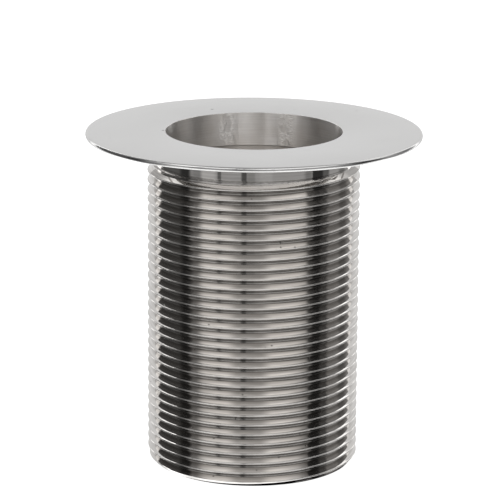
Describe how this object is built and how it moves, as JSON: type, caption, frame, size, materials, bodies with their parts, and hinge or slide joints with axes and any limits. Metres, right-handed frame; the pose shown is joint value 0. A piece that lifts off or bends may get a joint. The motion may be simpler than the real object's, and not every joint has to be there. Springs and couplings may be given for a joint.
{
  "type": "thru hull fitting",
  "caption": "Flanged tube for a boat's hull: a thin flat round flange on a straight barrel with a right-hand outside thread and an open bore.",
  "frame": {"origin": "on the bore's axis, in the plane of the flange's seating face, which clamps against the outside of the hull", "axes": "+Z along the bore, out of the flange's mouth; the barrel runs towards -Z. The thread has no marked start, so X and Y are free"},
  "size_m": [0.075, 0.075, 0.0756],
  "materials": {
    "flange_steel": "satin polished stainless steel",
    "barrel_steel": "turned stainless steel",
    "weld_steel": "brushed weld bead"
  },
  "bodies": {
    "root": {"flange_with_spigot": "flange_steel", "threaded_barrel": "barrel_steel", "flange_weld": "weld_steel"}
  },
  "joints": []
}
